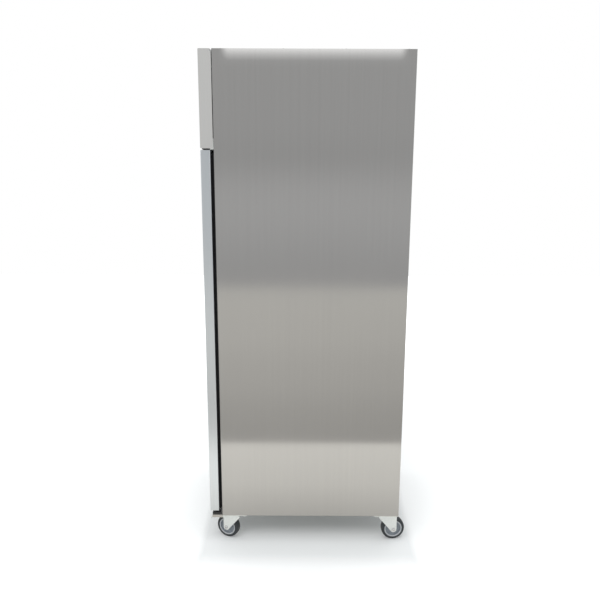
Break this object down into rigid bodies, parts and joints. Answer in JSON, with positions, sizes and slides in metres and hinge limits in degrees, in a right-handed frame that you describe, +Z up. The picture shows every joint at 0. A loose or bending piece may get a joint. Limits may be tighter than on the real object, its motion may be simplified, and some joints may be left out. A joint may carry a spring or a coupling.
{
  "type": "glass door refrigerator",
  "caption": "Upright stainless refrigerator with a double-glazed hinged door, wire shelves, lifting control fascia, cooling unit on top and swivel casters.",
  "frame": {"origin": "floor level under the middle of the whole footprint, rear wheels included", "axes": "+Z up, the door faces -Y, and the door is hinged on the +X side"},
  "size_m": [0.68, 0.8471, 2.01],
  "materials": {
    "brushed_stainless": "brushed stainless sheet",
    "fascia_stainless": "brushed stainless sheet",
    "galvanised": "zinc-coated sheet",
    "zinc": "bright zinc plating",
    "anodised": "satin anodised",
    "foam": "rigid foam",
    "white_frame": "moulded plastic",
    "black_nylon": "moulded nylon",
    "gasket": "soft vinyl",
    "glass": "clear",
    "black_shell": "satin enamel",
    "fins": "bare fins",
    "copper": "bare copper",
    "black_plastic": "moulded plastic",
    "grey_plastic": "moulded plastic",
    "lamp": "opal diffuser",
    "shelf_coat": "dipped coating",
    "core_grey": "moulded nylon",
    "tyre": "rubber tread",
    "chrome": "polished"
  },
  "bodies": {
    "cabinet": {"side_panel_left": "brushed_stainless", "side_panel_right": "brushed_stainless", "back_panel": "galvanised", "base_pan": "galvanised", "front_frame": "brushed_stainless", "inner_liner": "brushed_stainless", "insulation": "foam", "machine_deck": "galvanised", "top_cover": "galvanised", "rear_grille": "galvanised", "mains_inlet": "black_plastic", "machine_front_frame": "galvanised", "compressor": "black_shell", "condenser_coil": "fins", "condenser_shroud": "galvanised", "refrigerant_pipes": "copper", "condensate_pan": "galvanised", "electrical_box": "grey_plastic", "evaporator_cover": "brushed_stainless", "evaporator_coil": "fins", "evaporator_fan_motor": "black_shell", "led_lamp": "lamp", "rack_uprights": "brushed_stainless", "shelf_runners": "brushed_stainless", "lower_hinge_bracket": "zinc", "lower_hinge_block": "black_nylon", "upper_hinge_bracket": "zinc", "caster_plates": "zinc"},
    "door": {"door_stile_hinge": "anodised", "door_stile_handle": "anodised", "door_rail_bottom": "anodised", "door_rail_top": "anodised", "outer_glass": "glass", "inner_glass": "glass", "glass_spacer": "black_nylon", "door_gasket": "gasket", "door_bushes": "black_nylon"},
    "fascia": {"fascia_panel": "fascia_stainless", "fascia_fittings": "black_plastic"},
    "lock": {"door_lock": "chrome"},
    "rocker": {"light_switch": "black_plastic"},
    "condenser_rotor": {"condenser_fan": "black_plastic"},
    "evaporator_rotor": {"evaporator_fan": "black_plastic"},
    "shelf_lower": {"shelf_lower": "shelf_coat"},
    "shelf_middle": {"shelf_middle": "shelf_coat"},
    "shelf_upper": {"shelf_upper": "shelf_coat"},
    "swivel_front_right": {"fork_front_right": "zinc"},
    "rolling_front_right": {"wheel_front_right": "core_grey", "tyre_front_right": "tyre"},
    "pedal_front_right": {"brake_pedal_front_right": "zinc"},
    "swivel_front_left": {"fork_front_left": "zinc"},
    "rolling_front_left": {"wheel_front_left": "core_grey", "tyre_front_left": "tyre"},
    "pedal_front_left": {"brake_pedal_front_left": "zinc"},
    "swivel_rear_right": {"fork_rear_right": "zinc"},
    "rolling_rear_right": {"wheel_rear_right": "core_grey", "tyre_rear_right": "tyre"},
    "swivel_rear_left": {"fork_rear_left": "zinc"},
    "rolling_rear_left": {"wheel_rear_left": "core_grey", "tyre_rear_left": "tyre"}
  },
  "joints": [
    {"name": "door_swing", "type": "hinge", "parent": "cabinet", "child": "door", "pos_m": [0.326, -0.389, 0.151], "axis": [0, 0, 1], "range_deg": [0, 110]},
    {"name": "fascia_lift", "type": "hinge", "parent": "cabinet", "child": "fascia", "pos_m": [0, -0.3685, 2.003], "axis": [-1, 0, 0], "range_deg": [0, 60]},
    {"name": "lock_turn", "type": "hinge", "parent": "fascia", "child": "lock", "pos_m": [-0.285, -0.412, 1.673], "axis": [0, 1, 0], "range_deg": [0, 90]},
    {"name": "light_rock", "type": "hinge", "parent": "fascia", "child": "rocker", "pos_m": [0.095, -0.408, 1.845], "axis": [-1, 0, 0], "range_deg": [0, 12]},
    {"name": "condenser_fan_spin", "type": "hinge", "parent": "cabinet", "child": "condenser_rotor", "pos_m": [-0.11, 0, 1.8015], "axis": [0, 1, 0], "continuous": true},
    {"name": "evaporator_fan_spin", "type": "hinge", "parent": "cabinet", "child": "evaporator_rotor", "pos_m": [0, 0, 1.54], "axis": [0, 1, 0], "continuous": true},
    {"name": "shelf_lower_slide", "type": "slide", "parent": "cabinet", "child": "shelf_lower", "axis": [0, -1, 0], "range_m": [0, 0.03]},
    {"name": "shelf_middle_slide", "type": "slide", "parent": "cabinet", "child": "shelf_middle", "axis": [0, -1, 0], "range_m": [0, 0.03]},
    {"name": "shelf_upper_slide", "type": "slide", "parent": "cabinet", "child": "shelf_upper", "axis": [0, -1, 0], "range_m": [0, 0.03]},
    {"name": "swivel_front_right_turn", "type": "hinge", "parent": "cabinet", "child": "swivel_front_right", "pos_m": [0.2975, -0.3095, 0.12], "axis": [0, 0, 1], "continuous": true},
    {"name": "wheel_front_right_roll", "type": "hinge", "parent": "swivel_front_right", "child": "rolling_front_right", "pos_m": [0.28326, -0.34147, 0.05], "axis": [-0.9135, 0.4067, 0], "continuous": true},
    {"name": "brake_front_right_press", "type": "hinge", "parent": "swivel_front_right", "child": "pedal_front_right", "pos_m": [0.27228, -0.36614, 0.103], "axis": [0.9135, -0.4067, 0], "range_deg": [0, 12]},
    {"name": "swivel_front_left_turn", "type": "hinge", "parent": "cabinet", "child": "swivel_front_left", "pos_m": [-0.2975, -0.3095, 0.12], "axis": [0, 0, 1], "continuous": true},
    {"name": "wheel_front_left_roll", "type": "hinge", "parent": "swivel_front_left", "child": "rolling_front_left", "pos_m": [-0.30116, -0.34431, 0.05], "axis": [-0.9945, 0.1045, 0], "continuous": true},
    {"name": "brake_front_left_press", "type": "hinge", "parent": "swivel_front_left", "child": "pedal_front_left", "pos_m": [-0.30398, -0.37116, 0.103], "axis": [0.9945, -0.1045, 0], "range_deg": [0, 12]},
    {"name": "swivel_rear_right_turn", "type": "hinge", "parent": "cabinet", "child": "swivel_rear_right", "pos_m": [0.2975, 0.3355, 0.12], "axis": [0, 0, 1], "continuous": true},
    {"name": "wheel_rear_right_roll", "type": "hinge", "parent": "swivel_rear_right", "child": "rolling_rear_right", "pos_m": [0.29384, 0.37031, 0.05], "axis": [0.9945, 0.1045, 0], "continuous": true},
    {"name": "swivel_rear_left_turn", "type": "hinge", "parent": "cabinet", "child": "swivel_rear_left", "pos_m": [-0.2975, 0.3355, 0.12], "axis": [0, 0, 1], "continuous": true},
    {"name": "wheel_rear_left_roll", "type": "hinge", "parent": "swivel_rear_left", "child": "rolling_rear_left", "pos_m": [-0.29022, 0.36973, 0.05], "axis": [0.9781, -0.2079, 0], "continuous": true}
  ]
}
